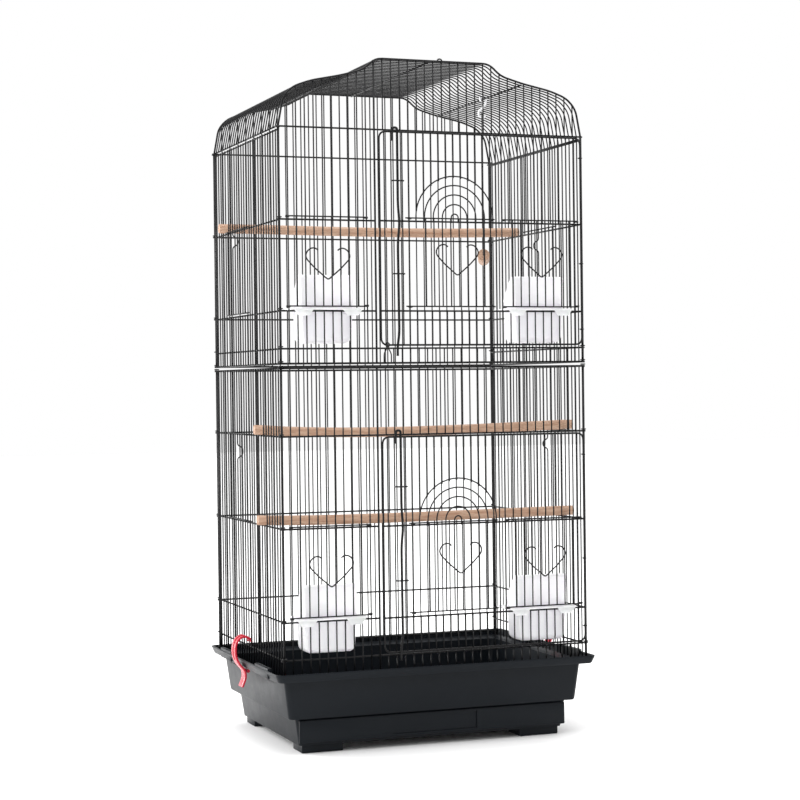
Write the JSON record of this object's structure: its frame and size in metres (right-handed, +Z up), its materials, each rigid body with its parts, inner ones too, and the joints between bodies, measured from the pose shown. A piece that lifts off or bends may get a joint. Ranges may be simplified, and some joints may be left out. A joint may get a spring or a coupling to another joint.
{
  "type": "bird cage",
  "caption": "Tall wire bird cage with an arched roof, large hinged doors, small lift doors, feeding cups, wooden perches and a swing, on a plastic base with a pull-out tray.",
  "frame": {"origin": "on the surface the feet rest on, under the middle of the cage's width and depth", "axes": "+Z up, -Y out of the front where the doors and the tray are, +X to the right seen from the front"},
  "size_m": [0.484, 0.3411, 0.9262],
  "materials": {
    "black_wire": "welded steel wire with black powder coat",
    "tub_plastic": "black moulded polypropylene with a fine satin grain",
    "tray_plastic": "black moulded polypropylene",
    "cup_plastic": "milky translucent moulded plastic",
    "beech": "turned bare wood dowel",
    "red_plastic": "glossy red moulded plastic",
    "white_plastic": "white moulded plastic"
  },
  "bodies": {
    "root": {"base_tub": "tub_plastic", "floor_grille": "black_wire", "lower_front_panel": "black_wire", "lower_back_panel": "black_wire", "lower_left_panel": "black_wire", "lower_right_panel": "black_wire", "upper_front_panel": "black_wire", "upper_back_panel": "black_wire", "upper_left_panel": "black_wire", "upper_right_panel": "black_wire", "roof_panel": "black_wire", "front_roof_loop": "black_wire", "back_roof_loop": "black_wire", "back_section_hook": "black_wire", "bottom_perch": "beech", "middle_perch": "beech", "top_perch": "beech", "swing_hook": "white_plastic", "lower_left_cup": "cup_plastic", "upper_left_cup": "cup_plastic"},
    "lower_door": {"lower_main_door": "black_wire", "lower_right_cup": "cup_plastic"},
    "lower_latch": {"lower_latch_rod": "black_wire"},
    "lower_left_lift_door": {"lower_left_shutter": "black_wire"},
    "lower_middle_lift_door": {"lower_middle_shutter": "black_wire"},
    "lower_right_lift_door": {"lower_right_shutter": "black_wire"},
    "lower_left_side_lift_door": {"lower_left_side_shutter": "black_wire"},
    "lower_right_side_lift_door": {"lower_right_side_shutter": "black_wire"},
    "upper_door": {"upper_main_door": "black_wire", "upper_right_cup": "cup_plastic"},
    "upper_latch": {"upper_latch_rod": "black_wire"},
    "upper_left_lift_door": {"upper_left_shutter": "black_wire"},
    "upper_middle_lift_door": {"upper_middle_shutter": "black_wire"},
    "upper_right_lift_door": {"upper_right_shutter": "black_wire"},
    "upper_left_side_lift_door": {"upper_left_side_shutter": "black_wire"},
    "upper_right_side_lift_door": {"upper_right_side_shutter": "black_wire"},
    "tray": {"slide_out_tray": "tray_plastic"},
    "swing": {"swing_bow": "black_wire", "swing_perch": "beech"},
    "left_clip": {"left_side_clip": "red_plastic"},
    "right_clip": {"right_side_clip": "red_plastic"}
  },
  "joints": [
    {"name": "lower_door_hinge", "type": "hinge", "parent": "root", "child": "lower_door", "pos_m": [0.2145, -0.1646, 0.1312], "axis": [0, 0, 1], "range_deg": [0, 110]},
    {"name": "lower_latch_lift", "type": "slide", "parent": "lower_door", "child": "lower_latch", "axis": [0, 0, 1], "range_m": [0, 0.015]},
    {"name": "lower_left_shutter_lift", "type": "slide", "parent": "root", "child": "lower_left_lift_door", "axis": [0, 0, 1], "range_m": [0, 0.112]},
    {"name": "lower_middle_shutter_lift", "type": "slide", "parent": "lower_door", "child": "lower_middle_lift_door", "axis": [0, 0, 1], "range_m": [0, 0.112]},
    {"name": "lower_right_shutter_lift", "type": "slide", "parent": "lower_door", "child": "lower_right_lift_door", "axis": [0, 0, 1], "range_m": [0, 0.112]},
    {"name": "lower_left_side_shutter_lift", "type": "slide", "parent": "root", "child": "lower_left_side_lift_door", "axis": [0, 0, 1], "range_m": [0, 0.088]},
    {"name": "lower_right_side_shutter_lift", "type": "slide", "parent": "root", "child": "lower_right_side_lift_door", "axis": [0, 0, 1], "range_m": [0, 0.088]},
    {"name": "upper_door_hinge", "type": "hinge", "parent": "root", "child": "upper_door", "pos_m": [0.2145, -0.1646, 0.5392], "axis": [0, 0, 1], "range_deg": [0, 110]},
    {"name": "upper_latch_lift", "type": "slide", "parent": "upper_door", "child": "upper_latch", "axis": [0, 0, 1], "range_m": [0, 0.015]},
    {"name": "upper_left_shutter_lift", "type": "slide", "parent": "root", "child": "upper_left_lift_door", "axis": [0, 0, 1], "range_m": [0, 0.112]},
    {"name": "upper_middle_shutter_lift", "type": "slide", "parent": "upper_door", "child": "upper_middle_lift_door", "axis": [0, 0, 1], "range_m": [0, 0.112]},
    {"name": "upper_right_shutter_lift", "type": "slide", "parent": "upper_door", "child": "upper_right_lift_door", "axis": [0, 0, 1], "range_m": [0, 0.112]},
    {"name": "upper_left_side_shutter_lift", "type": "slide", "parent": "root", "child": "upper_left_side_lift_door", "axis": [0, 0, 1], "range_m": [0, 0.112]},
    {"name": "upper_right_side_shutter_lift", "type": "slide", "parent": "root", "child": "upper_right_side_lift_door", "axis": [0, 0, 1], "range_m": [0, 0.112]},
    {"name": "tray_slide", "type": "slide", "parent": "root", "child": "tray", "axis": [0, -1, 0], "range_m": [0, 0.24]},
    {"name": "swing_pivot", "type": "hinge", "parent": "root", "child": "swing", "pos_m": [0.128, -0.025, 0.8725], "axis": [0.3875, 0.9219, 0], "range_deg": [-14, 14]},
    {"name": "left_clip_hinge", "type": "hinge", "parent": "root", "child": "left_clip", "pos_m": [-0.2185, 0.006, 0.094], "axis": [0, -1, 0], "range_deg": [0, 35]},
    {"name": "right_clip_hinge", "type": "hinge", "parent": "root", "child": "right_clip", "pos_m": [0.2185, 0.006, 0.094], "axis": [0, 1, 0], "range_deg": [0, 35]}
  ]
}
